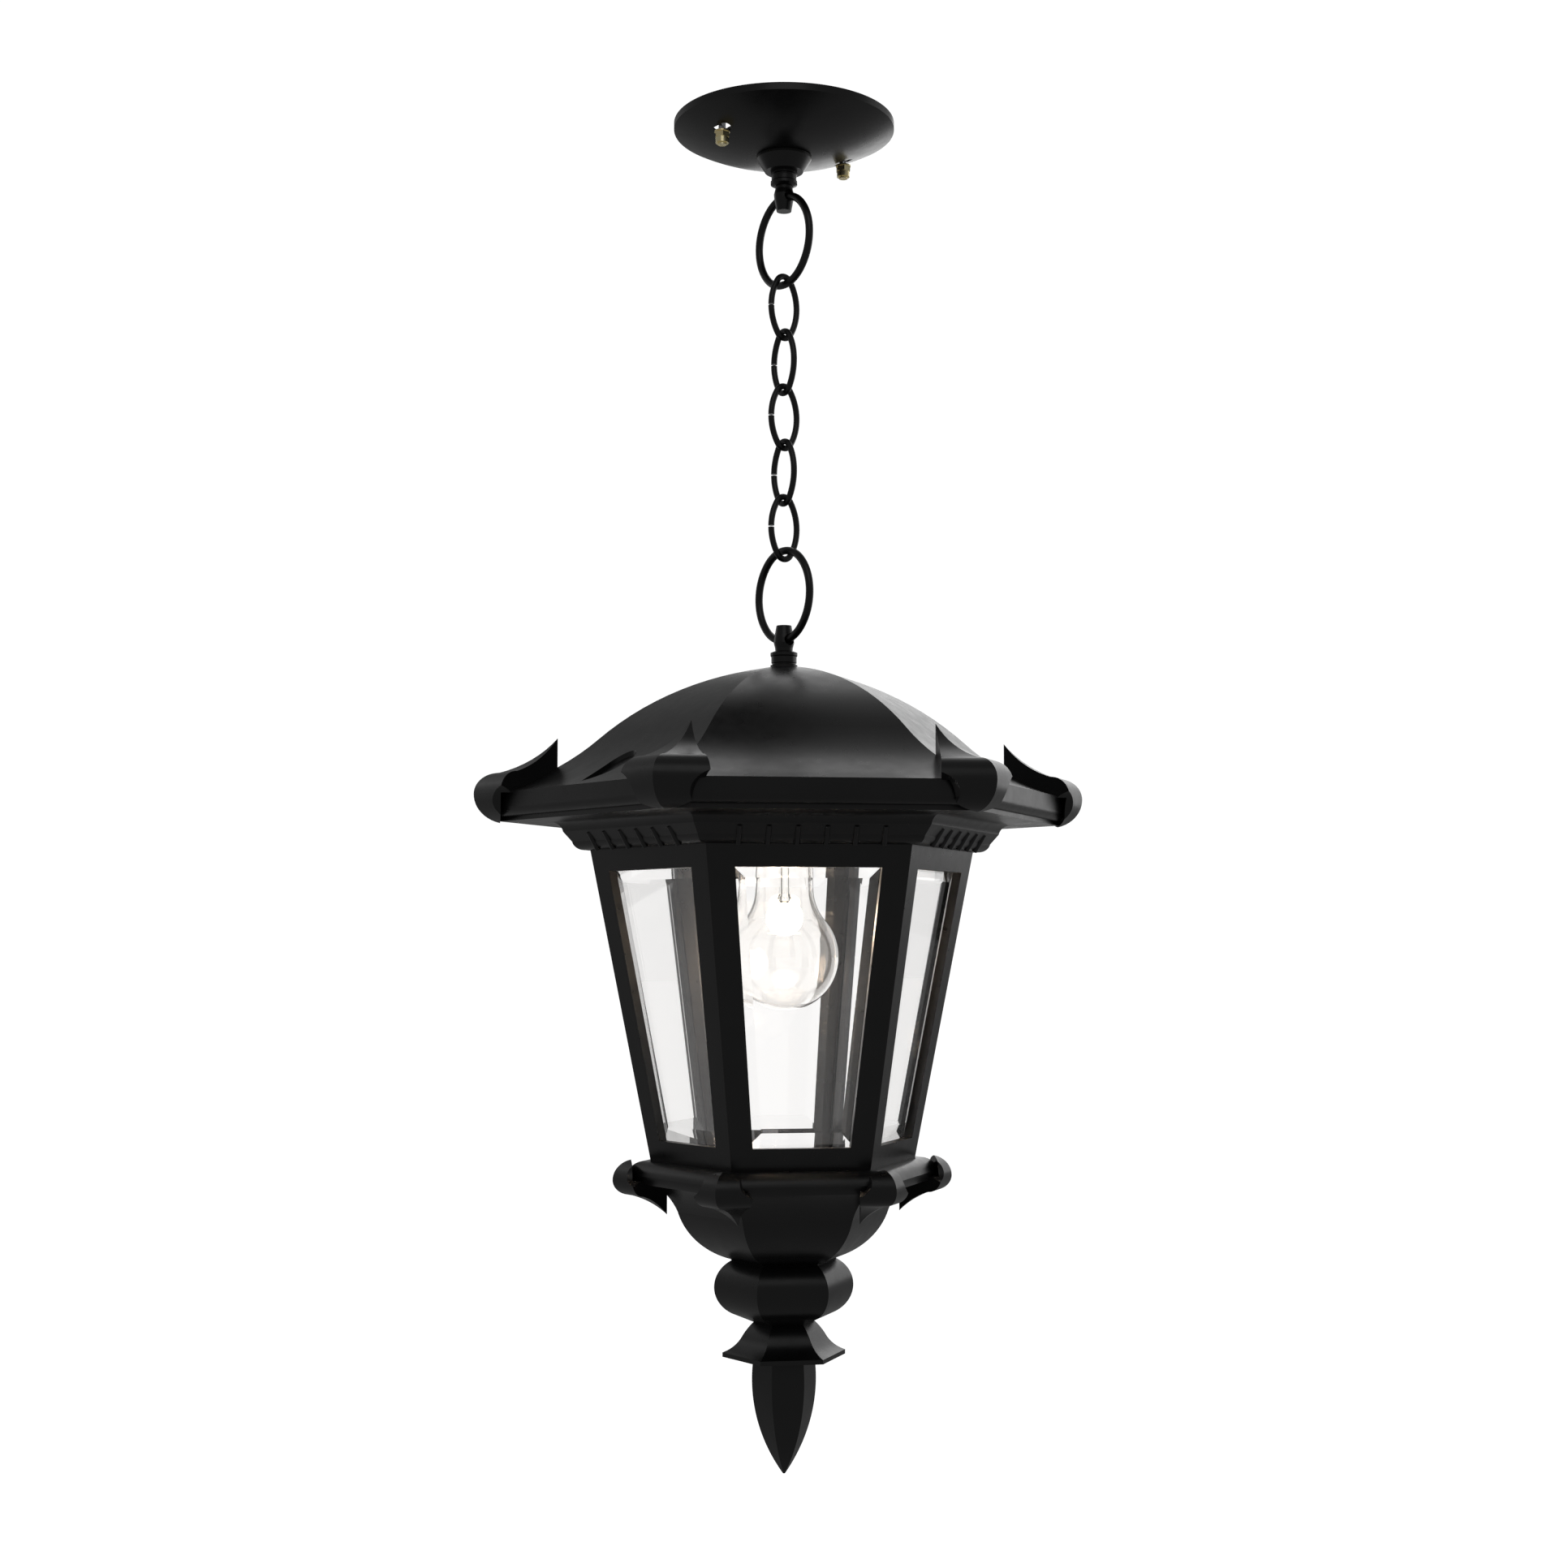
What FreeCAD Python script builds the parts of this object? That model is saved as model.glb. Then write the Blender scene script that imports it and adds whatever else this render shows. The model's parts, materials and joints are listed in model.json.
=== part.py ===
import FreeCAD, Part
import math
import os

import Sketcher

# Hexagonal hanging lantern on a short chain, in millimetres.
# Frame: origin at the centre of the canopy's ceiling plane, +Z up, so the lantern hangs at -Z.
# The crossbar and the canopy studs lie along X. The two rings lie in the YZ plane.
# The cage's corners point at +Y and -Y, so one pair of panes faces +X and -X.
# "Apothem" is the distance from the axis to the middle of a hexagon's side.

SIZES = {
    # ceiling end
    "canopy_radius": 63.5,
    "canopy_rim": 4.0,
    "canopy_depth": 19.8,
    "canopy_wall": 1.5,
    "stud_offset": 44.45,
    "box_slot_offset": 34.925,
    "strap_thickness": 2.0,
    # threaded tube, couplings and loops
    "tube_radius": 4.9,
    "tube_bore": 3.3,
    "fit_gap": 0.1,
    "loop_hole_radius": 3.3,
    "loop_hole_depth": 42.8,
    "loop_tail": 8.3,
    # chain
    "ring_wire": 2.2,
    "ring_half_height": 25.7,
    "ring_half_width": 23.3,
    "ring_end_radius": 21.5,
    "link_wire": 1.775,
    "link_half_height": 17.95,
    "link_half_width": 9.2,
    "link_end_radius": 5.4,
    "link_slit": 0.9,
    "link_gap": 0.3,
    "ring_gap": 0.8,
    # roof and cornice
    "roof_top": 316.0,
    "roof_wall": 3.0,
    "dome_radius": 147.0,
    "flare_radius": 119.4,
    "eave_apothem": 143.0,
    "eave_edge": 388.7,
    "fascia_bottom": 402.0,
    "plate_bottom": 404.4,
    "cage_top": 420.0,
    # cage and panes
    "cage_bottom": 591.8,
    "cage_top_apothem": 94.4,
    "cage_bottom_apothem": 64.6,
    "cage_wall": 5.0,
    "window_top": 432.0,
    "window_bottom": 580.0,
    "window_top_half": 38.9,
    "window_bottom_half": 26.2,
    "pane_lap": 4.5,
    "pane_foot_lap": 2.0,
    "pane_thickness": 4.0,
    "pane_bevel": 10.0,
    "pane_edge": 1.8,
    # foot
    "ring_bottom": 603.6,
    "roll_apothem": 76.0,
    "flange_apothem": 50.0,
    "bowl_bottom": 647.0,
    "knob_bottom": 681.0,
    "skirt_bottom": 699.6,
    "finial_tip": 763.8,
    "rod_radius": 3.0,
    # lamp
    "socket_top": 380.0,
    "socket_bottom": 423.0,
    "socket_radius": 20.0,
    "bulb_bottom": 509.5,
    "bulb_radius": 30.4,
    "bulb_glass_wall": 0.9,
    "cap_radius": 13.1,
}

HALF = 0.5
COS_30 = math.cos(math.radians(30))
HEXAGON = "hexagon"
BRASS_WASHER = 0.8
STUD_RADIUS = 2.05
GROUND_SCREW_X = 16.0
GROUND_SCREW_RADIUS = 2.0
SCREW_RADIUS = 2.0
SCREW_HEAD_RADIUS = 3.4
SCREW_HEAD = 2.4
CLIP_SCREW_RADIUS = 1.5
CLIP_SHEET = 0.8
CORNICE_SCREW_X = 101.0
YOKE_SCREW_X = 90.7
RECESS_END = 136.0
RECESS_SHOULDER = 111.0
RECESS_HALF_WIDTH = 9.5
RECESS_SIDE_CURVE = 36.0
RECESS_HEAD_CURVE = 9.6
RECESS_DEPTH = 2.2


class Size:
    """A length that carries its value and the spreadsheet formula it comes from."""

    def __init__(self, value, formula):
        self.value = value
        self.formula = formula

    def joined(self, sign, other, swap=False):
        first, second = (as_size(other), self) if swap else (self, as_size(other))
        value = {
            "+": first.value + second.value,
            "-": first.value - second.value,
            "*": first.value * second.value,
        }[sign]
        return Size(value, f"({first.formula} {sign} {second.formula})")

    def __add__(self, other):
        return self.joined("+", other)

    def __radd__(self, other):
        return self.joined("+", other, swap=True)

    def __sub__(self, other):
        return self.joined("-", other)

    def __rsub__(self, other):
        return self.joined("-", other, swap=True)

    def __mul__(self, other):
        return self.joined("*", other)

    def __rmul__(self, other):
        return self.joined("*", other, swap=True)

    def __neg__(self):
        return Size(-self.value, f"(0 - {self.formula})")


def as_size(length):
    """Any number as a Size, so that plain numbers and sheet sizes mix."""
    if isinstance(length, Size):
        return length
    return Size(float(length), f"({float(length):.6f})")


doc = FreeCAD.newDocument("lantern")
sheet = doc.addObject("Spreadsheet::Sheet", "Sizes")
for row, (alias, number) in enumerate(SIZES.items(), start=1):
    sheet.set(f"A{row}", alias)
    sheet.set(f"B{row}", str(number))
    sheet.setAlias(f"B{row}", alias)
doc.recompute()

PARTS = []


class Lookup:
    """Sheet sizes by name: dim.canopy_radius is a Size bound to that cell."""

    def __getattr__(self, alias):
        return Size(SIZES[alias], f"Sizes.{alias}")


dim = Lookup()


# ---------------------------------------------------------------- building blocks


def part(node, feature):
    """Names a finished sub-part: its label is its node and its file."""
    feature.Label = node
    PARTS.append(feature)
    return feature


def bind(feature, **lengths):
    """Binds a feature's lengths to the sheet."""
    for name, length in lengths.items():
        length = as_size(length)
        setattr(feature, name, length.value)
        feature.setExpression(name, length.formula)


def body(name):
    return doc.addObject("PartDesign::Body", name)


def origin(owner, role):
    return next(f for f in owner.Origin.OriginFeatures if f.Role == role)


def new_sketch(owner, plane, height=0):
    """A sketch on one of the body's own origin planes, moved along the plane's normal."""
    sketch = owner.newObject("Sketcher::SketchObject", owner.Name + "_sketch")
    sketch.AttachmentSupport = [(origin(owner, plane), "")]
    sketch.MapMode = "FlatFace"
    height = as_size(height)
    sketch.AttachmentOffset = FreeCAD.Placement(FreeCAD.Vector(0, 0, height.value), FreeCAD.Rotation())
    sketch.setExpression("AttachmentOffset.Base.z", height.formula)
    return sketch


def constrain(sketch, kind, *where_and_length):
    """Adds a length constraint bound to the sheet. The last item is the length."""
    *where, length = where_and_length
    length = as_size(length)
    index = sketch.addConstraint(Sketcher.Constraint(kind, *where, length.value))
    sketch.setExpression(f"Constraints[{index}]", length.formula)


def arc_middle(start, end, radius):
    """The middle of the arc from start to end. A positive radius turns left, a negative one right."""
    chord = end - start
    left = FreeCAD.Vector(-chord.y, chord.x, 0).normalize()
    rise = math.sqrt(max(radius * radius - chord.Length**2 / 4, 0))
    side = math.copysign(1, radius)
    return (start + end) * HALF - left * side * (abs(radius) - rise)


def draw(sketch, corners):
    """A closed outline. (x, y) ends a straight run and (x, y, radius) ends an arc."""
    count = len(corners)
    points = [FreeCAD.Vector(as_size(c[0]).value, as_size(c[1]).value, 0) for c in corners]
    base = sketch.GeometryCount
    ends = []
    for i in range(count):
        start, end = points[i - 1], points[i]
        if len(corners[i]) == 3:
            middle = arc_middle(start, end, as_size(corners[i][2]).value)
            sketch.addGeometry(Part.Arc(start, middle, end))
        else:
            sketch.addGeometry(Part.LineSegment(start, end))
        begins = (sketch.getPoint(base + i, 1) - start).Length < (sketch.getPoint(base + i, 1) - end).Length
        ends.append((1, 2) if begins else (2, 1))
    for i, corner in enumerate(corners):
        after = (i + 1) % count
        here = (base + i, ends[i][1])
        sketch.addConstraint(Sketcher.Constraint("Coincident", *here, base + after, ends[after][0]))
        constrain(sketch, "DistanceX", -1, 1, *here, corner[0])
        constrain(sketch, "DistanceY", -1, 1, *here, corner[1])
        if len(corner) == 3:
            radius = as_size(corner[2])
            constrain(sketch, "Radius", base + i, radius if radius.value > 0 else -radius)


def circle(sketch, x, y, radius):
    """A circle fixed by its centre and radius."""
    centre = FreeCAD.Vector(as_size(x).value, as_size(y).value, 0)
    index = sketch.addGeometry(Part.Circle(centre, FreeCAD.Vector(0, 0, 1), as_size(radius).value))
    constrain(sketch, "DistanceX", -1, 1, index, 3, x)
    constrain(sketch, "DistanceY", -1, 1, index, 3, y)
    constrain(sketch, "Radius", index, radius)


def hexagon(sketch, x, y, radius):
    """A regular hexagon whose corners lie at a radius."""
    turns = [math.radians(60 * k) for k in range(6)]
    draw(sketch, [(x + radius * math.cos(turn), y + radius * math.sin(turn)) for turn in turns])


def pad(owner, sketch, length, downwards=False, both_ways=False):
    feature = owner.newObject("PartDesign::Pad", owner.Name + "_pad")
    feature.Profile = sketch
    feature.Reversed = downwards
    if both_ways:
        feature.SideType = "Symmetric"
    bind(feature, Length=length)
    return feature


def pocket(owner, sketch, length, both_ways=False, forwards=False):
    """Cuts the sketch's outline away, and checks that it did cut."""
    doc.recompute()
    before = owner.Shape.Volume
    feature = owner.newObject("PartDesign::Pocket", owner.Name + "_pocket")
    feature.Profile = sketch
    feature.Reversed = forwards
    if both_ways:
        feature.SideType = "Symmetric"
    bind(feature, Length=length)
    doc.recompute()
    assert owner.Shape.Volume < before, owner.Name + " pocket cuts nothing"
    return feature


def round_the_axis(owner, features, count):
    """Repeats features of the body round the Z axis."""
    pattern = owner.newObject("PartDesign::PolarPattern", owner.Name + "_pattern")
    pattern.Originals = features
    pattern.Axis = (origin(owner, "Z_Axis"), [""])
    pattern.Angle = 360
    pattern.Occurrences = count
    owner.Tip = pattern
    return owner


def turned(name, corners):
    """A body of revolution about Z from its half section, (radius, height) corners."""
    owner = body(name)
    sketch = new_sketch(owner, "XZ_Plane")
    draw(sketch, corners)
    feature = owner.newObject("PartDesign::Revolution", name + "_turned")
    feature.Profile = sketch
    feature.ReferenceAxis = (sketch, ["V_Axis"])
    feature.Angle = 360
    return owner


def planed(name, flank):
    """A hexagonal solid. Its six flanks share one outline of (apothem, height), from end to end."""
    heights = [as_size(c[1]).value for c in flank]
    apothems = [as_size(c[0]).value for c in flank]
    first, last = as_size(flank[0][1]), as_size(flank[-1][1])
    top, bottom = (first, last) if first.value > last.value else (last, first)
    overshoot = math.copysign(1.0, first.value - last.value)
    assert max(heights) == top.value and min(heights) == bottom.value, name
    reach = max(apothems) / COS_30 + 1
    owner = body(name)
    blank = new_sketch(owner, "XY_Plane", top)
    circle(blank, 0, 0, reach)
    pad(owner, blank, top - bottom, downwards=True)
    cutter = new_sketch(owner, "XZ_Plane")
    outline = [(flank[0][0], first + overshoot), tuple(flank[0][:2]), *flank[1:]]
    outline += [(flank[-1][0], last - overshoot), (reach + 1, last - overshoot)]
    outline += [(reach + 1, first + overshoot)]
    draw(cutter, outline)
    plane_off = pocket(owner, cutter, 3 * reach, both_ways=True)
    return round_the_axis(owner, [plane_off], 6)


def cut(name, base, *tools):
    """The base with each tool taken away in turn."""
    result = base
    for number, tool in enumerate(tools):
        feature = doc.addObject("Part::Cut", f"{name}_cut_{number}")
        feature.Base = result
        feature.Tool = tool
        result = feature
    return result


def gathered(kind, name, features):
    """Part::MultiFuse, Part::MultiCommon or Part::Compound of several features."""
    feature = doc.addObject(kind, name)
    if kind == "Part::Compound":
        feature.Links = features
    else:
        feature.Shapes = features
    return feature


def cylinder(name, radius, top, bottom, x=0.0, y=0.0):
    """An upright cylinder between two depths below the ceiling."""
    feature = doc.addObject("Part::Cylinder", name)
    top, bottom = as_size(top), as_size(bottom)
    bind(feature, Radius=radius, Height=bottom - top)
    feature.Placement.Base = FreeCAD.Vector(x, y, -bottom.value)
    feature.setExpression("Placement.Base.z", (-bottom).formula)
    return feature


def hex_nut(name, across_flats, hole, top, bottom):
    """A hexagon nut on the axis between two depths."""
    blank = doc.addObject("Part::Prism", name + "_blank")
    blank.Polygon = 6
    top, bottom = as_size(top), as_size(bottom)
    bind(blank, Circumradius=as_size(across_flats) * (HALF / COS_30), Height=bottom - top)
    blank.setExpression("Placement.Base.z", (-bottom).formula)
    return cut(name, blank, cylinder(name + "_hole", hole, top - 1, bottom + 1))


def washer(name, outer, hole, top, bottom):
    return turned(name, [(hole, -top), (hole, -bottom), (outer, -bottom), (outer, -top)])


def posts(name, steps, x, count, first_angle=0.0):
    """Equal upright screws or holes round the axis: each step is (radius, top, bottom, shape)."""
    owner = body(name)
    pads = []
    for radius, top, bottom, *shape in steps:
        sketch = new_sketch(owner, "XY_Plane", -as_size(top))
        (hexagon if HEXAGON in shape else circle)(sketch, x, 0, radius)
        pads.append(pad(owner, sketch, as_size(bottom) - top, downwards=True))
    round_the_axis(owner, pads, count)
    turn = FreeCAD.Rotation(FreeCAD.Vector(0, 0, 1), first_angle)
    owner.Placement = FreeCAD.Placement(FreeCAD.Vector(), turn)
    return owner


# ---------------------------------------------------------------- ceiling end


def ceiling_curve(thickness):
    """Height of the canopy's dished underside at a radius, and its radius of curvature."""
    rise = SIZES["canopy_depth"] - SIZES["canopy_rim"]
    curve = (SIZES["canopy_radius"] ** 2 + rise**2) / (2 * rise)
    centre = curve - SIZES["canopy_depth"]

    def height(radius):
        return centre - math.sqrt((curve - thickness) ** 2 - radius**2)

    return height, curve - thickness


def make_canopy():
    wall = SIZES["canopy_wall"]
    outside, outer_curve = ceiling_curve(0)
    inside, inner_curve = ceiling_curve(wall)
    hole = dim.tube_radius + 0.3
    inner_radius = dim.canopy_radius - dim.canopy_wall
    return turned(
        "canopy_dish",
        [
            (hole, inside(hole.value), -inner_curve),
            (hole, outside(hole.value)),
            (dim.canopy_radius, -dim.canopy_rim, outer_curve),
            (dim.canopy_radius, 0),
            (inner_radius, 0),
            (inner_radius, inside(inner_radius.value)),
        ],
    )


def make_crossbar():
    """Flat steel strap with two slots for the box screws and two tapped holes for the studs."""
    owner = body("crossbar_body")
    half_length, half_width, corner = 54.0, 9.0, 4.0
    sketch = new_sketch(owner, "XY_Plane", 0)
    draw(
        sketch,
        [
            (half_length - corner, -half_width),
            (half_length, corner - half_width, corner),
            (half_length, half_width - corner),
            (half_length - corner, half_width, corner),
            (corner - half_length, half_width),
            (-half_length, half_width - corner, corner),
            (-half_length, corner - half_width),
            (corner - half_length, -half_width, corner),
        ],
    )
    pad(owner, sketch, dim.strap_thickness, downwards=True)
    slot_half, slot_reach = 2.4, 2.6
    for side in (-1, 1):
        holes = new_sketch(owner, "XY_Plane", 0)
        middle = side * dim.box_slot_offset
        draw(
            holes,
            [
                (middle - slot_reach, -slot_half, slot_half),
                (middle + slot_reach, -slot_half),
                (middle + slot_reach + slot_half, 0, slot_half),
                (middle + slot_reach, slot_half, slot_half),
                (middle - slot_reach, slot_half),
                (middle - slot_reach - slot_half, 0, slot_half),
            ],
        )
        circle(holes, side * dim.stud_offset, 0, STUD_RADIUS + dim.fit_gap)
        pocket(owner, holes, dim.strap_thickness)
    centre_holes = new_sketch(owner, "XY_Plane", 0)
    circle(centre_holes, 0, 0, dim.tube_radius + 0.3)
    circle(centre_holes, -GROUND_SCREW_X, 0, GROUND_SCREW_RADIUS + dim.fit_gap)
    pocket(owner, centre_holes, dim.strap_thickness)
    return part("crossbar", owner)


def make_ceiling_end():
    make_crossbar()
    canopy = make_canopy()
    slots = []
    for side in (-1, 1):
        slot = body(f"canopy_slot_{side + 2}")
        sketch = new_sketch(slot, "XY_Plane", 0)
        half_width, reach = 2.8, 3.8
        middle = side * dim.stud_offset
        draw(
            sketch,
            [
                (middle + half_width, -reach, half_width),
                (middle + half_width, reach),
                (middle, reach + half_width, half_width),
                (middle - half_width, reach, half_width),
                (middle - half_width, -reach),
                (middle, -reach - half_width, half_width),
            ],
        )
        pad(slot, sketch, dim.canopy_depth, downwards=True)
        slots.append(slot)
    part("canopy", cut("canopy", canopy, *slots))

    nut_top = 14.0
    part("canopy_studs", posts("studs", [(STUD_RADIUS, 0, nut_top + 6.5)], dim.stud_offset, 2))
    jam_top = dim.strap_thickness
    jam = posts("stud_nuts_body", [(4.6, jam_top, jam_top + 3, HEXAGON)], dim.stud_offset, 2)
    part("stud_nuts", cut("stud_nuts", jam, stud_holes("jam_holes")))
    washers = posts("washers_body", [(4.4, nut_top, nut_top + BRASS_WASHER)], dim.stud_offset, 2)
    part("canopy_washers", cut("washers", washers, stud_holes("washer_holes")))
    cap_top = nut_top + BRASS_WASHER
    caps = posts(
        "cap_nuts_body",
        [
            (4.3, cap_top, cap_top + 3.0, HEXAGON),
            (3.75, cap_top + 2.8, cap_top + 6.2),
            (2.6, cap_top + 6.0, cap_top + 7.2),
        ],
        dim.stud_offset,
        2,
    )
    cap_holes = posts("cap_holes", [(STUD_RADIUS + dim.fit_gap, nut_top, nut_top + 6.6)], dim.stud_offset, 2)
    part("canopy_nuts", cut("cap_nuts", caps, cap_holes))

    head = dim.strap_thickness
    screw = posts(
        "ground_screw_body",
        [(GROUND_SCREW_RADIUS, 0, head), (4.6, head, head + 1.0), (4.2, head + 1.0, head + 3.0, HEXAGON)],
        GROUND_SCREW_X,
        1,
        180.0,
    )
    part("ground_screw", screw)

    part("canopy_nipple", washer("nipple_body", dim.tube_radius, dim.tube_bore, 11.5, 31.9))
    bore = dim.tube_radius + dim.fit_gap
    part("canopy_lock_washer", washer("lock_washer_body", 9.0, bore, 16.4, 17.8))
    part("canopy_lock_nut", hex_nut("lock_nut", 14.0, bore, 12.4, 16.4))
    collar = [(bore, -19.9), (bore, -28.0), (11.0, -28.0), (15.8, -20.6), (15.8, -19.1)]
    part("canopy_collar", turned("collar_body", collar))
    part("canopy_coupling", turned("canopy_coupling_body", coupling_section(bore, -28.0, -36.4)))
    part("canopy_loop", make_loop("canopy_loop", -dim.loop_hole_depth, upside_down=False))


def stud_holes(name):
    return posts(name, [(STUD_RADIUS + dim.fit_gap, 0, 30)], dim.stud_offset, 2)


def coupling_section(bore, foot, nose):
    """Half section of a grooved coupling. The foot is at the casting and the nose at the loop."""
    step = math.copysign(1.0, as_size(nose).value - as_size(foot).value)
    body_radius, flange_radius, groove_radius = 7.2, 7.7, 6.7
    return [
        (bore, foot),
        (flange_radius, foot),
        (flange_radius, foot + 1.5 * step),
        (groove_radius, foot + 1.9 * step),
        (groove_radius, foot + 2.4 * step),
        (body_radius, foot + 2.8 * step),
        (body_radius, nose - 3.2 * step),
        (flange_radius, nose - 2.6 * step),
        (flange_radius, nose - 0.9 * step),
        (5.6, nose),
        (bore, nose),
    ]


def make_loop(name, hole_height, upside_down):
    """Turned barrel with a stub for its coupling and a cross hole for the ring's wire."""
    way = -1 if upside_down else 1
    stub, neck, shoulder = 10.6, 6.4, 1.5
    owner = turned(
        name + "_body",
        [
            (0, hole_height + way * stub),
            (dim.tube_radius, hole_height + way * stub),
            (dim.tube_radius, hole_height + way * neck),
            (5.1, hole_height + way * 4.4),
            (5.85, hole_height + way * shoulder),
            (5.6, hole_height - way * 1.2),
            (4.3, hole_height - way * dim.loop_tail),
            (0, hole_height - way * dim.loop_tail),
        ],
    )
    hole = new_sketch(owner, "XZ_Plane")
    circle(hole, 0, hole_height, dim.loop_hole_radius)
    pocket(owner, hole, 30, both_ways=True)
    return owner


# ---------------------------------------------------------------- chain


def oval(name, plane, wire, half_height, half_width, end_radius, slit=None):
    """A wire oval of four tangent arcs about its own centre, with a saw slit where it closes."""
    tall, wide, end = half_height.value, half_width.value, end_radius.value
    side = (tall**2 + wide**2 - 2 * tall * end) / (2 * (wide - end))
    lean = math.atan2(tall - end, side - wide)
    join_x, join_z = wide - side + side * math.cos(lean), side * math.sin(lean)
    owner = body(name)
    path = new_sketch(owner, plane)
    draw(
        path,
        [
            (-join_x, -join_z, side),
            (join_x, -join_z, end),
            (join_x, join_z, side),
            (-join_x, join_z, end),
            (-half_width, 0, side),
        ],
    )
    section = new_sketch(owner, "XY_Plane")
    circle(section, *((-half_width, 0) if plane == "XZ_Plane" else (0, -half_width)), wire)
    doc.recompute()
    wire_pipe = owner.newObject("PartDesign::AdditivePipe", name + "_wire")
    wire_pipe.Profile = section
    wire_pipe.Spine = path
    if slit is not None:
        saw = new_sketch(owner, "XZ_Plane")
        half, inner = slit * HALF, half_width - 2 * wire
        outer = half_width + 2 * wire
        draw(saw, [(-outer, -half), (-inner, -half), (-inner, half), (-outer, half)])
        pocket(owner, saw, 6 * wire, both_ways=True)
    return owner


def make_chain():
    hole = -dim.loop_hole_depth
    ring_gap = dim.ring_wire + dim.link_wire + dim.ring_gap
    link_gap = 2 * dim.link_wire + dim.link_gap
    ring_sizes = (dim.ring_wire, dim.ring_half_height, dim.ring_half_width, dim.ring_end_radius)
    upper = oval("ring_upper_body", "YZ_Plane", *ring_sizes)
    place(upper, hole - dim.ring_half_height, 0)
    part("ring_upper", upper)
    top = hole - 2 * dim.ring_half_height + ring_gap
    for number in range(1, 6):
        link = oval(
            f"link_{number}_body",
            "XZ_Plane",
            dim.link_wire,
            dim.link_half_height,
            dim.link_half_width,
            dim.link_end_radius,
            dim.link_slit,
        )
        place(link, top - dim.link_half_height, 0 if number % 2 else -90)
        part(f"link_{number}", link)
        last_bottom = top - 2 * dim.link_half_height
        top = last_bottom + link_gap
    lower = oval("ring_lower_body", "YZ_Plane", *ring_sizes)
    ring_top = last_bottom + ring_gap
    place(lower, ring_top - dim.ring_half_height, 0)
    part("ring_lower", lower)
    return ring_top - 2 * dim.ring_half_height


def place(feature, height, turn):
    """Sets a feature at a height on the axis, turned about Z."""
    height = as_size(height)
    feature.Placement = FreeCAD.Placement(
        FreeCAD.Vector(0, 0, height.value), FreeCAD.Rotation(FreeCAD.Vector(0, 0, 1), turn)
    )
    feature.setExpression("Placement.Base.z", height.formula)


# ---------------------------------------------------------------- roof and cornice


def roof_arcs(offset):
    """Dome centre, turning point and eave point of the roof's flank, moved inwards by an offset."""
    dome, flare = SIZES["dome_radius"], SIZES["flare_radius"]
    centre_a, turn_a, crown_a = -13.7, 90.8, 8.5
    centre_z = -SIZES["roof_top"] - math.sqrt(dome**2 - (crown_a - centre_a) ** 2)
    lean = math.asin((turn_a - centre_a) / dome)
    turn = (centre_a + (dome - offset) * math.sin(lean), centre_z + (dome - offset) * math.cos(lean))
    flare_a = centre_a + (dome + flare) * math.sin(lean)
    flare_z = centre_z + (dome + flare) * math.cos(lean)

    def flare_height(apothem):
        return flare_z - math.sqrt((flare + offset) ** 2 - (flare_a - apothem) ** 2)

    def dome_height(apothem):
        return centre_z + math.sqrt((dome - offset) ** 2 - (apothem - centre_a) ** 2)

    return dome_height, turn, flare_height


def roof_solid(name):
    """The roof as if it were not hollow, which the corner ornaments are fitted to."""
    _, turn, _ = roof_arcs(0)
    bead = 5.0
    return planed(
        name,
        [
            (8.5, -dim.roof_top),
            (*turn, -dim.dome_radius),
            (dim.eave_apothem, -dim.eave_edge, dim.flare_radius),
            (dim.eave_apothem, bead - dim.fascia_bottom),
            (dim.eave_apothem - bead, -dim.fascia_bottom, -bead),
        ],
    )


def roof_hollow():
    """The space under the roof's shell, with a flat seat for the washer at its top."""
    wall = SIZES["roof_wall"]
    dome_height, turn, flare_height = roof_arcs(wall)
    seat, lip = 14.0, SIZES["eave_apothem"] - 7.0
    return planed(
        "roof_hollow",
        [
            (seat, dome_height(seat)),
            (*turn, dim.roof_wall - dim.dome_radius),
            (lip, flare_height(lip), dim.flare_radius + dim.roof_wall),
            (lip, -dim.fascia_bottom),
        ],
    )


def make_roof():
    outside = roof_solid("roof_outside")
    hole = cylinder("roof_hole", dim.tube_radius + 0.3, dim.roof_top - 5, dim.roof_top + 15)
    part("roof", cut("roof", outside, roof_hollow(), hole, roof_recess()))


def roof_recess():
    """A shallow oval dint with a pointed lower end, in the middle of one of the roof's panels."""
    owner = body("roof_recess")
    sketch = new_sketch(owner, "XY_Plane", -dim.roof_top)
    draw(
        sketch,
        [
            (-RECESS_END, 0, -RECESS_SIDE_CURVE),
            (-RECESS_SHOULDER, RECESS_HALF_WIDTH, -RECESS_SIDE_CURVE),
            (-RECESS_SHOULDER, -RECESS_HALF_WIDTH, -RECESS_HEAD_CURVE),
        ],
    )
    pad(owner, sketch, 80, downwards=True)
    dome_height, turn, flare_height = roof_arcs(RECESS_DEPTH)
    inner_eave = SIZES["eave_apothem"] - 2
    floor = planed(
        "recess_floor",
        [
            (60, dome_height(60)),
            (*turn, RECESS_DEPTH - dim.dome_radius),
            (inner_eave, flare_height(inner_eave), dim.flare_radius + RECESS_DEPTH),
            (inner_eave, -dim.fascia_bottom),
        ],
    )
    return cut("roof_recess_above", owner, floor)


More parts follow.
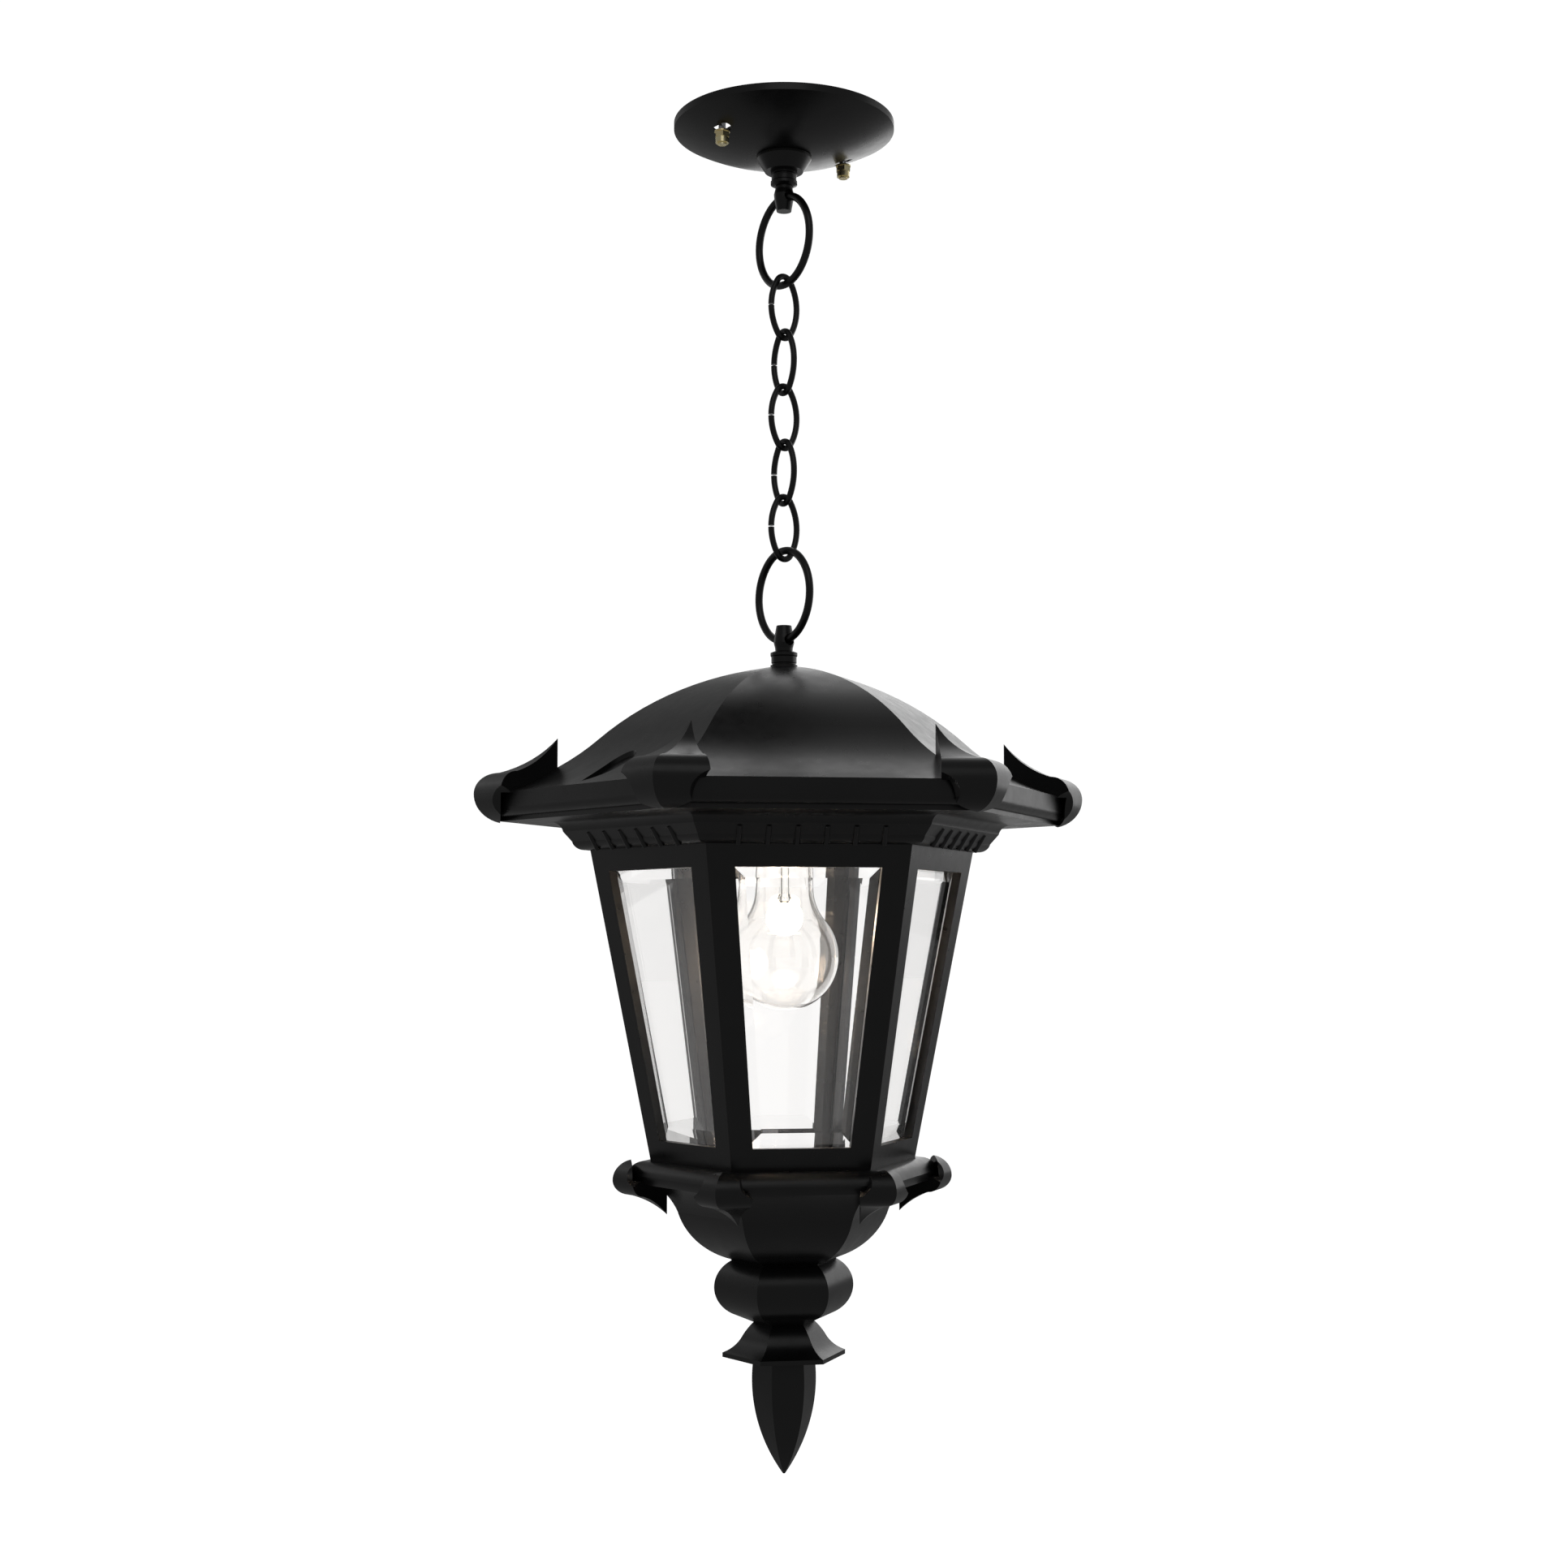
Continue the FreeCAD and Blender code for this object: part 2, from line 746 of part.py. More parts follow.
def make_cornice():
    """Cast ring under the eave: a flat plate, a cove and roll, and half-round ribs down each side."""
    top, ledge = -dim.fascia_bottom, 4.0
    outside = planed(
        "cornice_outside",
        [
            (dim.eave_apothem - 5.0, top),
            (dim.eave_apothem - 5.0, -dim.plate_bottom),
            (114.5, -dim.plate_bottom),
            (107.6, -409.8, 6.5),
            (103.2, -415.4),
            (97.6, -dim.cage_top, -6.0),
        ],
    )
    inside = planed(
        "cornice_inside",
        [
            (100, top),
            (100, ledge - dim.cage_top + 4),
            (96, ledge - dim.cage_top),
            (84, ledge - dim.cage_top),
            (84, -dim.cage_top),
        ],
    )
    ribs = []
    rib_radius, pitch = 1.6, 15.3
    rib_foot, rib_run, rib_rise = 99.9, 6.0, 9.6
    lean = math.atan2(rib_run, rib_rise)
    for side in range(6):
        for step in range(6):
            rib = doc.addObject("Part::Cylinder", f"rib_{side}_{step}")
            bind(rib, Radius=rib_radius, Height=rib_rise / math.cos(lean))
            along = FreeCAD.Rotation(FreeCAD.Vector(0, 0, 1), 60 * side)
            tilt = FreeCAD.Rotation(FreeCAD.Vector(0, 1, 0), math.degrees(lean))
            foot = along.multVec(FreeCAD.Vector(rib_foot, (step - 2.5) * pitch, -SIZES["cage_top"] - 0.3))
            rib.Placement = FreeCAD.Placement(foot, along * tilt)
            ribs.append(rib)
    cast = gathered("Part::MultiFuse", "cornice_cast", [outside, *ribs])
    holes = [cornice_holes("cornice_cornice"), yoke_holes("cornice_yoke")]
    part("cornice", cut("cornice", cast, inside, *holes))
    return outside


def cornice_holes(name):
    return posts(name, [(SCREW_RADIUS + 0.1, 400, 426)], CORNICE_SCREW_X, 6, 30.0)


def yoke_holes(name):
    return posts(name, [(SCREW_RADIUS + 0.1, 400, 426)], YOKE_SCREW_X, 2)


def horns(name, front, level, scale, up, tip, solids):
    """Six corner ornaments: a rolled nose over the corner and a leaf that sweeps back to a point.

    front and level are the nose's furthest apothem and its height. up is -1 for the inverted ones.
    Below the nose's level only its outer end is left, so that it stands clear of the sides, and its
    cheeks are rounded off as seen from the corner's front.
    """

    def at(outwards, upwards, *radius):
        return (front + scale * outwards, level + up * scale * upwards, *(up * scale * r for r in radius))

    def seen(side, outwards, upwards, *radius):
        turn = -side * up * scale
        return (side * scale * outwards, level + up * scale * upwards, *(turn * r for r in radius))

    shape = planed(
        name + "_flank",
        [tip, at(-11.8, 11.8, 55.0), at(0, 0, -11.8), at(-16.6, -16.6, -16.6)],
    )
    reach = front.value / COS_30
    tip_reach = tip[0] / COS_30
    plan = body(name + "_plan")
    sketch = new_sketch(plan, "XY_Plane", -300)
    wing, beyond = (28.6 * scale, reach - 10.7 * scale), 16.3 * scale
    side_curve = 220.0 * scale
    draw(
        sketch,
        [
            (0, tip_reach, -side_curve),
            (wing[0], wing[1], -side_curve),
            (0, reach + beyond),
            (-wing[0], wing[1]),
        ],
    )
    leaf = pad(plan, sketch, 400, downwards=True)
    cheeks = new_sketch(plan, "XZ_Plane")
    cheek = [(40.0, 4.0), (27.0, 4.0), (15.0, -9.0, -16.0), (5.0, -25.0, 18.0), (40.0, -25.0)]
    for side in (-1, 1):
        draw(cheeks, [seen(side, *corner) for corner in cheek])
    round_the_axis(plan, [leaf, pocket(plan, cheeks, 600, both_ways=True)], 6)
    corners = gathered("Part::MultiCommon", name + "_corners", [shape, plan])
    end_face = reach - 14.7 * scale
    clearance = planed(
        name + "_clearance",
        [(end_face, level - up * 0.3), (end_face, level - up * scale * 22)],
    )
    turn = FreeCAD.Rotation(FreeCAD.Vector(0, 0, 1), 30)
    clearance.Placement = FreeCAD.Placement(FreeCAD.Vector(), turn)
    part(name, cut(name, corners, clearance, *solids))


# ---------------------------------------------------------------- cage and panes


CAGE_HEIGHT = SIZES["cage_bottom"] - SIZES["cage_top"]
SLOPE = (SIZES["cage_top_apothem"] - SIZES["cage_bottom_apothem"]) / CAGE_HEIGHT
LEAN = math.atan(SLOPE)
CAGE_OPENING = 74.0
FLANGE = 3.5


def cage_apothem(height, depth=0.0):
    """Apothem of the cage's outer face at a height, or of a surface at a depth behind that face."""
    return dim.cage_top_apothem + (height + dim.cage_top) * SLOPE - depth * (1 / math.cos(LEAN))


def make_cage():
    owner = planed(
        "cage_outside",
        [(dim.cage_top_apothem, -dim.cage_top), (dim.cage_bottom_apothem, -dim.cage_bottom)],
    )
    window = new_sketch(owner, "YZ_Plane")
    draw(
        window,
        [
            (-dim.window_bottom_half, -dim.window_bottom),
            (dim.window_bottom_half, -dim.window_bottom),
            (dim.window_top_half, -dim.window_top),
            (-dim.window_top_half, -dim.window_top),
        ],
    )
    opening = pocket(owner, window, 200)
    round_the_axis(owner, [opening], 6)
    high, low = -dim.cage_top - FLANGE, FLANGE - dim.cage_bottom
    inside = planed(
        "cage_inside",
        [
            (CAGE_OPENING, -dim.cage_top),
            (CAGE_OPENING, high),
            (cage_apothem(high, dim.cage_wall), high),
            (cage_apothem(low, dim.cage_wall), low),
            (dim.flange_apothem, low),
            (dim.flange_apothem, -dim.cage_bottom),
        ],
    )
    holes = [cornice_holes("cage_cornice"), yoke_holes("cage_yoke"), base_holes("cage_base")]
    part("cage", cut("cage", owner, inside, *holes, *clip_holes("cage_clip")))


def window_half(height):
    """Half the window's width at a height."""
    rate = (dim.window_top_half.value - dim.window_bottom_half.value) / (
        dim.window_bottom.value - dim.window_top.value
    )
    return dim.window_bottom_half + (height + dim.window_bottom) * rate


def pane_section(sketch, front_depth, inset):
    """A pane's outline drawn in its own plane, whose origin is at the window's foot."""
    rise = 1 / math.cos(LEAN)
    low = (-dim.pane_foot_lap + inset) * rise
    high = (dim.window_bottom - dim.window_top + dim.pane_lap - inset) * rise
    low_half = window_half(inset - dim.window_bottom - dim.pane_foot_lap) + dim.pane_lap - inset
    high_half = window_half(dim.pane_lap - inset - dim.window_top) + dim.pane_lap - inset
    drop = front_depth * math.sin(LEAN)
    draw(
        sketch,
        [
            (-low_half, low - drop),
            (low_half, low - drop),
            (high_half, high - drop),
            (-high_half, high - drop),
        ],
    )


def make_panes():
    """Six bevelled trapezoid panes, each laid against the inside of its window."""
    front, back = 4.0, dim.pane_thickness + 4.0
    for number in range(6):
        owner = body(f"pane_{number + 1}_body")
        slab = new_sketch(owner, "XY_Plane", -back)
        pane_section(slab, front, as_size(0))
        pad(owner, slab, dim.pane_edge)
        wide = new_sketch(owner, "XY_Plane", dim.pane_edge - back)
        pane_section(wide, front, as_size(0))
        narrow = new_sketch(owner, "XY_Plane", -front)
        pane_section(narrow, front, dim.pane_bevel)
        doc.recompute()
        bevel = owner.newObject("PartDesign::AdditiveLoft", f"pane_{number + 1}_bevel")
        bevel.Profile = wide
        bevel.Sections = [narrow]
        bevel.Ruled = True
        turn = math.radians(60 * number)
        outwards = FreeCAD.Vector(math.cos(turn), math.sin(turn), 0)
        foot = outwards * cage_apothem(-dim.window_bottom).value
        foot.z = -SIZES["window_bottom"]
        across = FreeCAD.Vector(-math.sin(turn), math.cos(turn), 0)
        up = outwards * math.sin(LEAN) + FreeCAD.Vector(0, 0, math.cos(LEAN))
        owner.Placement = FreeCAD.Placement(foot, FreeCAD.Rotation(across, up, across.cross(up), "ZXY"))
        part(f"glass_pane_{number + 1}", owner)


TOP_CLIP_X = 80.5
FOOT_CLIP_X = 53.4


def clip_holes(name):
    top, foot = SIZES["cage_top"], SIZES["cage_bottom"]
    radius = CLIP_SCREW_RADIUS + 0.1
    return [
        posts(name + "_top", [(radius, top + 0.5, top + 6)], TOP_CLIP_X, 6),
        posts(name + "_foot", [(radius, foot - 6, foot - 0.5)], FOOT_CLIP_X, 6),
    ]


def make_clips():
    """Sheet angles that press each pane against its window, screwed to the cage's two flanges."""
    behind = 8.1
    clips = []
    high, low = -dim.cage_top - FLANGE, FLANGE - dim.cage_bottom
    for name, ledge, tip, inner in (
        ("top_clips", high, 1.5 - dim.window_top, 75.5),
        ("foot_clips", low, -dim.window_bottom - 0.2, 50.6),
    ):
        way = 1 if tip.value > ledge.value else -1
        owner = body(name)
        sketch = new_sketch(owner, "XZ_Plane")
        bend = ledge + way * CLIP_SHEET
        draw(
            sketch,
            [
                (inner, ledge),
                (cage_apothem(ledge, behind), ledge),
                (cage_apothem(tip, behind), tip),
                (cage_apothem(tip, behind) - CLIP_SHEET, tip),
                (cage_apothem(bend, behind) - CLIP_SHEET, bend),
                (inner, bend),
            ],
        )
        round_the_axis(owner, [pad(owner, sketch, 9.0, both_ways=True)], 6)
        clips.append(cut(name + "_drilled", owner, *clip_holes(name)))
    part("glass_clips", gathered("Part::Compound", "glass_clips", clips))
    top, foot = SIZES["cage_top"] + FLANGE, SIZES["cage_bottom"] - FLANGE
    under, over = top + CLIP_SHEET, foot - CLIP_SHEET
    top_screw = [(CLIP_SCREW_RADIUS, top - 2.8, under), (2.6, under, under + 1.6)]
    foot_screw = [(CLIP_SCREW_RADIUS, over, foot + 2.8), (2.6, over - 1.6, over)]
    screws = [
        posts("top_clip_screws", top_screw, TOP_CLIP_X, 6),
        posts("foot_clip_screws", foot_screw, FOOT_CLIP_X, 6),
    ]
    part("clip_screws", gathered("Part::Compound", "clip_screws", screws))


# ---------------------------------------------------------------- foot


BASE_SCREW_X = 61.0
BASE_SCREW_HEAD_RADIUS = 2.9
BASE_SCREW_HEAD = 2.0
BOWL_FLANGE = 3.0


def base_holes(name):
    return posts(name, [(SCREW_RADIUS + 0.1, SIZES["cage_bottom"] - 2.5, 612)], BASE_SCREW_X, 6, 30.0)


def rod_hole(name):
    return cylinder(name, dim.rod_radius + dim.fit_gap, dim.bowl_bottom - 6, 726)


def make_foot():
    """Base ring, bowl, knob, skirt and finial, stacked on a tie rod."""
    rim = -dim.ring_bottom
    roll = planed(
        "base_ring_outside",
        [
            (66.0, -dim.cage_bottom),
            (dim.roll_apothem, -599.0, -9.0),
            (dim.roll_apothem - 1.6, rim, -9.0),
        ],
    )
    core = planed("base_ring_inside", [(dim.flange_apothem, -dim.cage_bottom), (dim.flange_apothem, rim)])
    part("base_ring", cut("base_ring", roll, core, base_holes("ring_base")))

    waist = (51.5, -620.0)
    outside = planed(
        "bowl_outside",
        [(64.0, rim), (*waist, 37.0), (26.0, 0.6 - dim.bowl_bottom, -38.0), (25.4, -dim.bowl_bottom)],
    )
    inside = planed(
        "bowl_inside",
        [
            (dim.flange_apothem, rim),
            (dim.flange_apothem, rim - BOWL_FLANGE),
            (57.8, rim - BOWL_FLANGE),
            (48.6, -620.8, 37.0),
            (25.0, 3.6 - dim.bowl_bottom, -35.0),
        ],
    )
    part("bowl", cut("bowl", outside, inside, rod_hole("bowl_rod"), base_holes("bowl_base")))

    knob = planed(
        "knob_body",
        [
            (25.5, -dim.bowl_bottom),
            (33.9, -661.5, -16.7),
            (23.4, -677.0, -16.7),
            (14.8, -dim.knob_bottom),
        ],
    )
    part("knob", cut("knob", knob, rod_hole("knob_rod")))
    skirt = planed(
        "skirt_body",
        [
            (14.8, -dim.knob_bottom),
            (20.5, -689.0, -34.0),
            (29.8, -697.2, 17.6),
            (29.8, -dim.skirt_bottom),
        ],
    )
    part("skirt", cut("skirt", skirt, rod_hole("skirt_rod")))
    finial = planed("finial_body", [(14.75, -dim.skirt_bottom), (0.56, -dim.finial_tip, -97.0)])
    part("finial", cut("finial", finial, rod_hole("finial_rod")))

    floor = dim.bowl_bottom - 3.6
    part("tie_rod", cylinder("tie_rod", dim.rod_radius, floor - 10, 725))
    hole = dim.rod_radius + dim.fit_gap
    part("tie_rod_washer", washer("rod_washer_body", 9.0, hole, floor - 1.5, floor))
    part("tie_rod_nut", hex_nut("rod_nut", 10.0, hole, floor - 6.5, floor - 1.5))
    head = SIZES["ring_bottom"] + BOWL_FLANGE
    screw = [
        (SCREW_RADIUS, SIZES["cage_bottom"] - 2, head),
        (BASE_SCREW_HEAD_RADIUS, head, head + BASE_SCREW_HEAD),
    ]
    part("base_screws", posts("base_screws_body", screw, BASE_SCREW_X, 6, 30.0))
    return outside, roll


# ---------------------------------------------------------------- lamp and its yoke


def make_yoke():
    """Bent strap that stands on the cornice's ledge and carries the threaded tube."""
    owner = body("yoke_body")
    sketch = new_sketch(owner, "XZ_Plane")
    ledge, plate = 4.0 - dim.cage_top, -372.0
    sheet_metal = 2.4
    right = [
        (96, ledge),
        (96, ledge + sheet_metal),
        (86.6, ledge + sheet_metal),
        (33, plate),
    ]
    under = [(32.2, plate - sheet_metal), (85.4, ledge)]
    left = [(-x, z) for x, z in reversed(right)]
    under_left = [(-x, z) for x, z in reversed(under)]
    draw(sketch, right + left + under_left + under)
    pad(owner, sketch, 22.0, both_ways=True)
    pipe_hole = cylinder("yoke_pipe_hole", dim.tube_radius + 0.2, 365, 380)
    part("lamp_yoke", cut("lamp_yoke", owner, pipe_hole, yoke_holes("yoke_feet")))
    top = SIZES["cage_top"] - 4.0 - sheet_metal
    bottom = SIZES["cage_top"] + FLANGE
    yoke_screw = [(SCREW_HEAD_RADIUS, top - SCREW_HEAD, top), (SCREW_RADIUS, top, bottom)]
    part("yoke_screws", posts("yoke_screws_body", yoke_screw, YOKE_SCREW_X, 2))
    ledge_top = SIZES["cage_top"] - 4.0
    cornice_screw = [
        (SCREW_HEAD_RADIUS, ledge_top - SCREW_HEAD, ledge_top),
        (SCREW_RADIUS, ledge_top, bottom),
    ]
    part("cornice_screws", posts("cornice_screws_body", cornice_screw, CORNICE_SCREW_X, 6, 30.0))


def make_hanger(ring_bottom):
    """Lantern loop, its coupling, and the tube that holds roof, yoke and socket together."""
    bore = dim.tube_radius + dim.fit_gap
    part("lantern_loop", make_loop("lantern_loop", ring_bottom, upside_down=True))
    nose = ring_bottom - 6.4
    section = coupling_section(bore, -dim.roof_top, nose)
    part("lantern_coupling", turned("lantern_coupling_body", section))
    part("lamp_pipe", washer("lamp_pipe_body", dim.tube_radius, dim.tube_bore, 311.6, 388.0))
    seat = dim.roof_top + 4.1
    part("roof_washer", washer("roof_washer_body", 12.0, bore, seat, seat + 1.5))
    nuts = [
        hex_nut("upper_pipe_nut", 14.0, bore, seat + 1.5, seat + 6.0),
        hex_nut("lower_pipe_nut", 14.0, bore, 374.5, 379.0),
    ]
    part("pipe_nuts", gathered("Part::Compound", "pipe_nuts", nuts))


def make_socket():
    """Porcelain lampholder with its screw shell, centre contact and two terminal screws."""
    bore, mouth = dim.tube_radius + dim.fit_gap, 14.4
    porcelain = turned(
        "socket_body",
        [
            (0, -389.2),
            (bore, -389.2),
            (bore, -dim.socket_top),
            (9.5, -dim.socket_top),
            (9.5, -386.0),
            (dim.socket_radius - 1.5, -389.0),
            (dim.socket_radius, -390.5, -1.5),
            (dim.socket_radius, -dim.socket_bottom),
            (mouth, -dim.socket_bottom),
            (mouth, -396.0),
            (0, -396.0),
        ],
    )
    terminal_x = 14.5
    holes = posts("terminal_holes", [(1.8, 380, 394)], terminal_x, 2, 90.0)
    part("lamp_socket", cut("lamp_socket", porcelain, holes))
    screws = posts("terminal_body", [(3.4, 384.4, 386.4), (1.7, 386.4, 393.8)], terminal_x, 2, 90.0)
    part("terminal_screws", screws)
    part("socket_shell", washer("socket_shell_body", mouth - 0.1, mouth - 0.5, 396.2, 421.5))
    contact = [(0, -396.0), (5.0, -396.0), (5.0, -396.6), (2.6, -399.7), (0, -399.7)]
    part("socket_contact", turned("socket_contact_body", contact))


def make_bulb():
    """Clear lamp, base up, with a screw cap, glass stem and a bent filament."""
    cap_wall = 0.5
    shoulder = dim.cap_radius - 2.6
    part(
        "bulb_cap",
        turned(
            "bulb_cap_body",
            [
                (6.6, -402.6),
                (shoulder, -402.6),
                (dim.cap_radius, -406.0),
                (dim.cap_radius, -426.0),
                (dim.cap_radius - cap_wall, -426.0),
                (dim.cap_radius - cap_wall, -406.2),
                (shoulder - 0.2, -403.1),
                (6.6, -403.1),
            ],
        ),
    )
    insulator = [(2.1, -401.0), (5.5, -401.0), (6.5, -402.6), (6.5, -404.0), (2.1, -404.0)]
    part("bulb_insulator", turned("bulb_insulator_body", insulator))
    tip = [(0, -400.1), (2.6, -400.1), (3.2, -400.9), (2.0, -400.9), (2.0, -405.0), (0, -405.0)]
    part("bulb_contact", turned("bulb_contact_body", tip))

    wall = dim.bulb_glass_wall
    inner = dim.bulb_radius - wall
    widest = dim.bulb_radius - dim.bulb_bottom
    neck = dim.cap_radius - cap_wall - 0.2
    part(
        "bulb_glass",
        turned(
            "bulb_glass_body",
            [
                (neck, -412.0),
                (neck, -426.5),
                (15.9, -430.5),
                (16.3, -441.0),
                (21.8, -457.3, 28.0),
                (dim.bulb_radius, widest, -31.0),
                (0, -dim.bulb_bottom, -dim.bulb_radius),
                (0, wall - dim.bulb_bottom),
                (inner, widest, inner),
                (21.0, -457.7, 30.1),
                (15.4, -441.0, -28.9),
                (15.0, -430.9),
                (neck - wall, -427.0),
                (neck - wall, -412.0),
            ],
        ),
    )
    stem = [(0, -414.0), (8.0, -414.0), (3.0, -423.0), (3.0, -444.0), (4.0, -446.5)]
    stem += [(2.5, -449.0), (0, -449.0)]
    part("bulb_stem", turned("bulb_stem_body", stem))

    wire, bend, depth = 0.4, 9.0, -466.0
    coil = doc.addObject("Part::Torus", "filament_coil")
    bind(coil, Radius1=bend, Radius2=wire)
    coil.Placement.Base = FreeCAD.Vector(0, 0, depth)
    leads = []
    for side in (-1, 1):
        start = FreeCAD.Vector(side * 1.5, 0, -449.6)
        run = FreeCAD.Vector(side * bend, 0, depth) - start
        lead = doc.addObject("Part::Cylinder", f"filament_lead_{side + 2}")
        bind(lead, Radius=wire, Height=run.Length)
        lead.Placement = FreeCAD.Placement(start, FreeCAD.Rotation(FreeCAD.Vector(0, 0, 1), run))
        leads.append(lead)
    part("bulb_filament", gathered("Part::MultiFuse", "filament", [coil, *leads]))


# ---------------------------------------------------------------- the whole lantern


def write_parts():
    doc.recompute()
    failed = [o.Name for o in doc.Objects if "Invalid" in o.State or "Error" in o.State]
    assert not failed, "failed features: " + ", ".join(failed)
    for feature in PARTS:
        shape = feature.Shape
        assert not shape.isNull() and shape.isValid() and shape.Solids, feature.Label + " has no valid shape"
    os.makedirs("parts", exist_ok=True)
    for feature in PARTS:
        feature.Shape.exportStep(f"parts/{feature.Label}.step")


def build():
    make_ceiling_end()
    ring_bottom = make_chain()
    make_hanger(ring_bottom)
    make_roof()
    cornice_solid = make_cornice()
    horns(
        "roof_horns",
        as_size(150.4),
        as_size(-389.2),
        1.0,
        1,
        (110.4, -357.6),
        [roof_solid("roof_fit"), cornice_solid],
    )
    make_yoke()
    make_socket()
    make_bulb()
    make_cage()
    make_panes()
    make_clips()
    bowl_solid, roll_solid = make_foot()
    horns("base_horns", as_size(82.8), as_size(-602.0), 0.69, -1, (56.6, -621.4), [bowl_solid, roll_solid])
    write_parts()


build()
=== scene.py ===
import json
import math

import bpy
from mathutils import Matrix, Vector


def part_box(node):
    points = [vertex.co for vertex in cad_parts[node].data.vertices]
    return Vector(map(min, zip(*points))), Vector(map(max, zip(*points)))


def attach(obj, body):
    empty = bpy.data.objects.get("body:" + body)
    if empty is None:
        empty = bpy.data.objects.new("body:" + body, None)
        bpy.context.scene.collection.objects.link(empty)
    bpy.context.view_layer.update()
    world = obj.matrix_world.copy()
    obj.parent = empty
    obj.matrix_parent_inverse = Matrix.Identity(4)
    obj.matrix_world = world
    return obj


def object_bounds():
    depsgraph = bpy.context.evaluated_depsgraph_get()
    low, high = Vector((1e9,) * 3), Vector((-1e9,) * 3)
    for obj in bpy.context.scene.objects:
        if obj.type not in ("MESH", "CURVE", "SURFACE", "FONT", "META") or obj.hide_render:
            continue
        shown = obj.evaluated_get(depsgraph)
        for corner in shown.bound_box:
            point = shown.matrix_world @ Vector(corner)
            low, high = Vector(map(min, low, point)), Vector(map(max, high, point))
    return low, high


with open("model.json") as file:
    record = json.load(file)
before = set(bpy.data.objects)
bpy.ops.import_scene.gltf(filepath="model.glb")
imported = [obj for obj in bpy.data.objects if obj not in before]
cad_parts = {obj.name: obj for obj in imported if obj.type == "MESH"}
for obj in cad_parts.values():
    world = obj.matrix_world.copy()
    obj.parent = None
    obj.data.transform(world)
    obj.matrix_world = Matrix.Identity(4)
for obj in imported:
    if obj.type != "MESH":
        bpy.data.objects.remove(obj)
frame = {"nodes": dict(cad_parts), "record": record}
cad_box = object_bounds()
NODES = frame["nodes"]

# The camera: its distance from the lantern's axis and its height in metres, its angles in degrees,
# and its lens and its sensor's width in millimetres.
CAMERA_DISTANCE = 1.228
CAMERA_HEIGHT = -0.4711
CAMERA_AZIMUTH = -38.17
CAMERA_PITCH = 4.154
LENS = 50
SENSOR_WIDTH = 36

# Brightness of the surround: as seen directly or through glass, and as it lights everything else.
WHITE = 1.05
FILL = 0.19

# Soft lamps, all at one distance from the lantern's middle:
# (name, azimuth from +X and elevation in degrees, width and height in metres, watts).
LAMP_DISTANCE = 2.2
LAMPS = [
    ("back", 38, 12, 1.3, 1.3, 7.0),
    ("back_high", 42, 42, 1.3, 1.3, 4.0),
    ("back_top", 68, 68, 1.2, 1.2, 1.0),
    ("right", -8, 12, 2.2, 1.3, 7.2),
    ("left", 100, 12, 1.2, 1.2, 2.0),
    ("front_high", 235, 40, 1.4, 1.2, 2.2),
]

# The lit filament's light: its power in watts, its colour, and its radius and its height above the
# filament's lowest point in metres.
GLOW_POWER = 0.3
GLOW_COLOUR = (1.0, 0.76, 0.54)
GLOW_RADIUS = 0.012
GLOW_RISE = 0.01

# The floor's depth below the finial and its half width, in metres.
FLOOR_DROP = 0.6
FLOOR_REACH = 40.0

# A noise pattern's values lie mostly between these two.
PATTERN_LOW = 0.3
PATTERN_HIGH = 0.7


# ---------------------------------------------------------------- materials


class Nodes:
    """A material's node tree, with short names for what is added to it."""

    def __init__(self, name):
        self.material = bpy.data.materials.new(name)
        self.material.use_nodes = True
        self.tree = self.material.node_tree
        self.tree.nodes.clear()
        self.output = self.add("ShaderNodeOutputMaterial")
        place = self.add("ShaderNodeTexCoord")
        self.place = place.outputs["Object"]

    def add(self, kind, **settings):
        node = self.tree.nodes.new(kind)
        for key, value in settings.items():
            setattr(node, key, value)
        return node

    def link(self, source, target):
        self.tree.links.new(source, target)

    def noise(self, per_metre, detail=2.0):
        """A noise pattern's value, with about this many lumps to a metre."""
        texture = self.add("ShaderNodeTexNoise")
        texture.inputs["Scale"].default_value = per_metre
        texture.inputs["Detail"].default_value = detail
        self.link(self.place, texture.inputs["Vector"])
        return texture.outputs["Fac"]

    def spread(self, value, low, high):
        """The pattern's middle range turned into a range of numbers."""
        node = self.add("ShaderNodeMapRange")
        node.inputs["From Min"].default_value = PATTERN_LOW
        node.inputs["From Max"].default_value = PATTERN_HIGH
        node.inputs["To Min"].default_value = low
        node.inputs["To Max"].default_value = high
        self.link(value, node.inputs["Value"])
        return node.outputs["Result"]

    def tint(self, value, first, second):
        """The pattern's middle range turned into a range of colours."""
        ramp = self.add("ShaderNodeValToRGB")
        ramp.color_ramp.elements[0].position = PATTERN_LOW
        ramp.color_ramp.elements[0].color = (*first, 1)
        ramp.color_ramp.elements[1].position = PATTERN_HIGH
        ramp.color_ramp.elements[1].color = (*second, 1)
        self.link(value, ramp.inputs["Fac"])
        return ramp.outputs["Color"]

    def bump(self, value, depth):
        """A surface that the pattern lifts by up to this depth, in metres."""
        node = self.add("ShaderNodeBump")
        node.inputs["Distance"].default_value = depth
        node.inputs["Strength"].default_value = 1.0
        self.link(value, node.inputs["Height"])
        return node.outputs["Normal"]

    def principled(self, **inputs):
        """A Principled shader whose inputs are numbers, colours or other nodes' outputs."""
        shader = self.add("ShaderNodeBsdfPrincipled")
        for key, value in inputs.items():
            socket = shader.inputs[key.replace("_", " ")]
            if isinstance(value, bpy.types.NodeSocket):
                self.link(value, socket)
            elif isinstance(value, tuple):
                socket.default_value = (*value, 1)
            else:
                socket.default_value = value
        return shader.outputs["BSDF"]

    def finish(self, shader):
        self.link(shader, self.output.inputs["Surface"])
        return self.material


